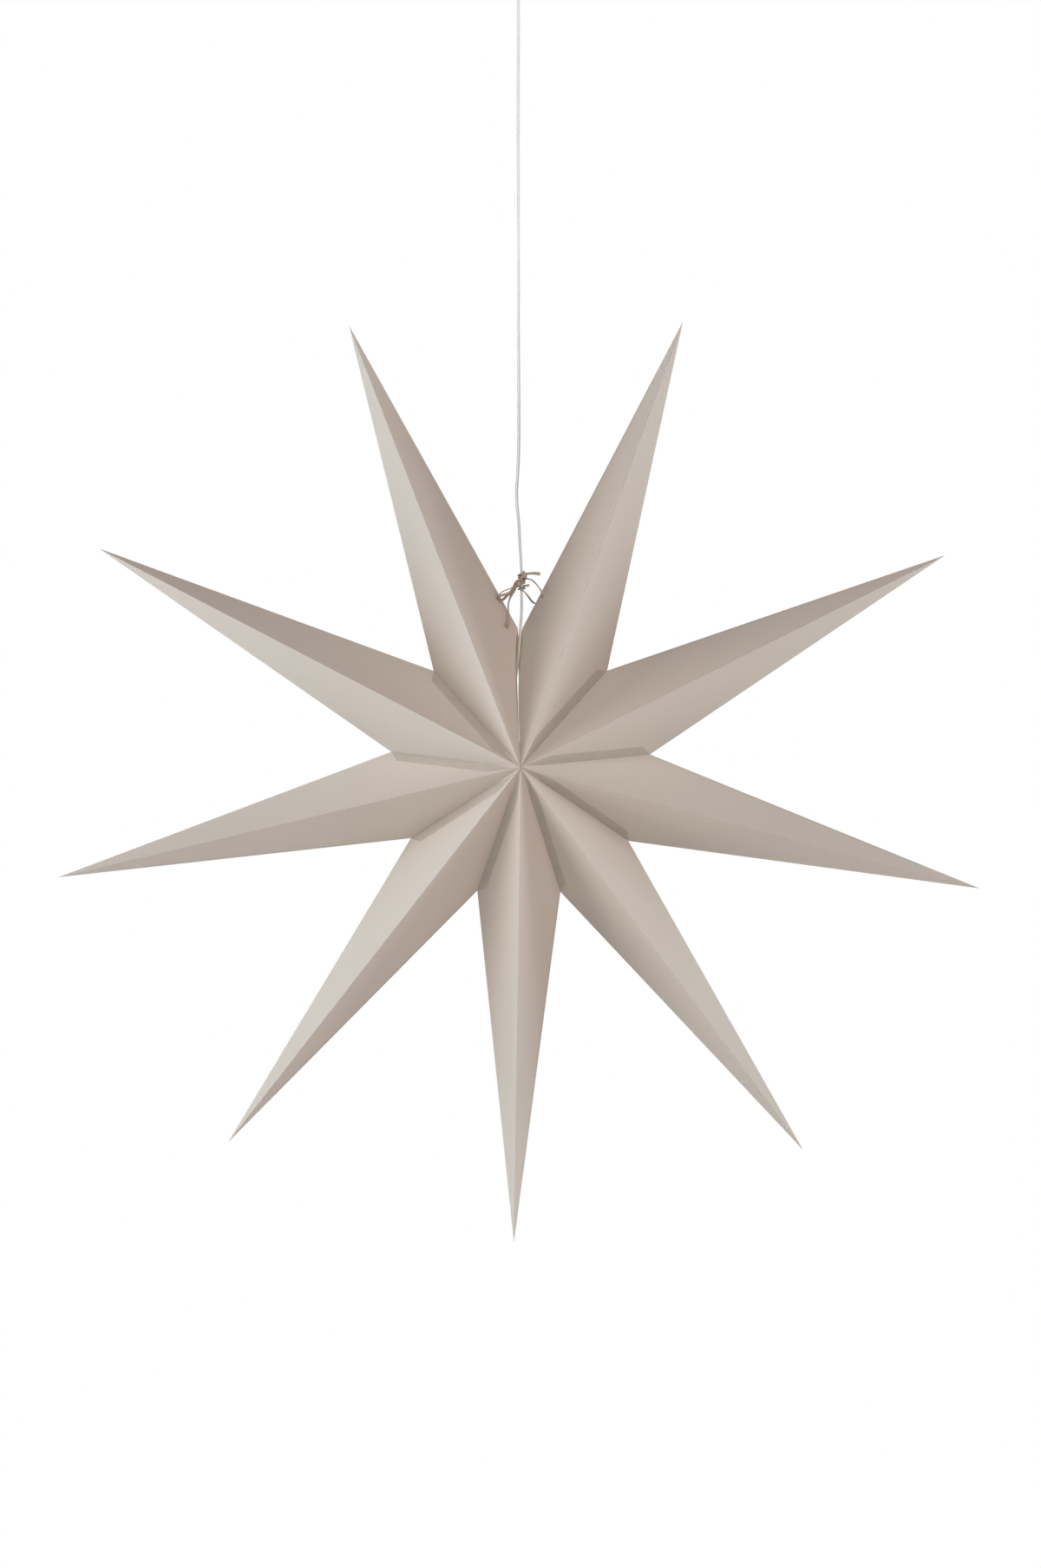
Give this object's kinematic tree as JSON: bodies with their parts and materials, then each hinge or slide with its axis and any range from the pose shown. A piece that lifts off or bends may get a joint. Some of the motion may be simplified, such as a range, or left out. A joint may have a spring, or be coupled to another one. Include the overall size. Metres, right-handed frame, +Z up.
{
  "type": "pendant star lantern",
  "caption": "Hanging star shade folded from card sheets, on a pendant cord with ceiling cup, lamp holder and bulb; it folds flat like a book.",
  "frame": {"origin": "middle of the mounting plate's top face, where the ceiling holds the lantern", "axes": "+Z up, +X to the right and +Y away from someone who looks at the front of the star; the pendant cord runs down -Z and the star's two hubs lie on a line along Y"},
  "size_m": [0.9702, 0.2486, 1.4],
  "materials": {
    "paper": "matte",
    "string_brown": "matte",
    "cord_white": "satin",
    "white_plastic": "satin",
    "white_metal": "satin",
    "steel": "satin",
    "brass": "satin",
    "insulation": "matte",
    "black_glass": "gloss",
    "clear_glass": "gloss",
    "filament": "matte"
  },
  "bodies": {
    "ceiling": {"mounting_plate": "steel", "terminal_block": "insulation"},
    "canopy": {"canopy_cup": "white_metal", "cord_grip": "white_plastic", "grip_nut": "steel", "grip_screw": "steel"},
    "pendant": {"pendant_cord": "cord_white", "holder_cap": "white_plastic", "cord_clamp": "white_plastic", "holder_body": "white_plastic", "contact_block": "insulation", "socket_shell": "brass", "centre_contact": "brass", "terminal_screw_left": "steel", "terminal_screw_right": "steel"},
    "bulb": {"bulb_base": "brass", "bulb_insulator": "black_glass", "bulb_tip": "brass", "bulb_glass": "clear_glass", "bulb_stem": "clear_glass", "bulb_filament": "filament"},
    "point_1": {"point_1": "paper", "tie_string_left": "string_brown"},
    "point_2": {"point_2": "paper"},
    "point_3": {"point_3": "paper"},
    "point_4": {"point_4": "paper"},
    "point_5": {"point_5": "paper"},
    "point_6": {"point_6": "paper"},
    "point_7": {"point_7": "paper"},
    "point_8": {"point_8": "paper"},
    "point_9": {"point_9": "paper", "tie_string_right": "string_brown"}
  },
  "joints": [
    {"name": "canopy_slide", "type": "slide", "parent": "ceiling", "child": "canopy", "axis": [0, 0, -1], "range_m": [0, 0.06]},
    {"name": "pendant_swing", "type": "hinge", "parent": "ceiling", "child": "pendant", "pos_m": [0, 0, -0.0663], "axis": [0, 1, 0], "range_deg": [-20, 20], "deforming": ["pendant_cord"]},
    {"name": "bulb_unscrew", "type": "slide", "parent": "pendant", "child": "bulb", "axis": [0, 0, -1], "range_m": [0, 0.024]},
    {"name": "star_turn", "type": "hinge", "parent": "pendant", "child": "point_1", "pos_m": [0.0033, 0, -0.704], "axis": [0, 0, 1], "range_deg": [-180, 180], "deforming": ["tie_string_left"]},
    {"name": "fold_1", "type": "hinge", "parent": "point_1", "child": "point_2", "pos_m": [0.0022, 0, -0.9], "axis": [0, 1, 0], "range_deg": [0, 39.1], "deforming": ["point_1", "point_2"]},
    {"name": "fold_2", "type": "hinge", "parent": "point_2", "child": "point_3", "pos_m": [0.0022, 0, -0.9], "axis": [0, 1, 0], "range_deg": [0, 38.6], "deforming": ["point_3"]},
    {"name": "fold_3", "type": "hinge", "parent": "point_3", "child": "point_4", "pos_m": [0.0022, 0, -0.9], "axis": [0, 1, 0], "range_deg": [0, 36.5], "deforming": ["point_4"]},
    {"name": "fold_4", "type": "hinge", "parent": "point_4", "child": "point_5", "pos_m": [0.0022, 0, -0.9], "axis": [0, 1, 0], "range_deg": [0, 35], "deforming": ["point_5"]},
    {"name": "fold_5", "type": "hinge", "parent": "point_5", "child": "point_6", "pos_m": [0.0022, 0, -0.9], "axis": [0, 1, 0], "range_deg": [0, 35.1], "deforming": ["point_6"]},
    {"name": "fold_6", "type": "hinge", "parent": "point_6", "child": "point_7", "pos_m": [0.0022, 0, -0.9], "axis": [0, 1, 0], "range_deg": [0, 36.6], "deforming": ["point_7"]},
    {"name": "fold_7", "type": "hinge", "parent": "point_7", "child": "point_8", "pos_m": [0.0022, 0, -0.9], "axis": [0, 1, 0], "range_deg": [0, 39.1], "deforming": ["point_8"]},
    {"name": "fold_8", "type": "hinge", "parent": "point_8", "child": "point_9", "pos_m": [0.0022, 0, -0.9], "axis": [0, 1, 0], "range_deg": [0, 41.2], "deforming": ["point_9", "tie_string_right"]}
  ],
  "couplings": [
    {"joint": "fold_2", "follows": "fold_1", "ratio": 0.9872},
    {"joint": "fold_3", "follows": "fold_1", "ratio": 0.9335},
    {"joint": "fold_4", "follows": "fold_1", "ratio": 0.8951},
    {"joint": "fold_5", "follows": "fold_1", "ratio": 0.8976},
    {"joint": "fold_6", "follows": "fold_1", "ratio": 0.936},
    {"joint": "fold_7", "follows": "fold_1", "ratio": 1},
    {"joint": "fold_8", "follows": "fold_1", "ratio": 1.0537}
  ]
}
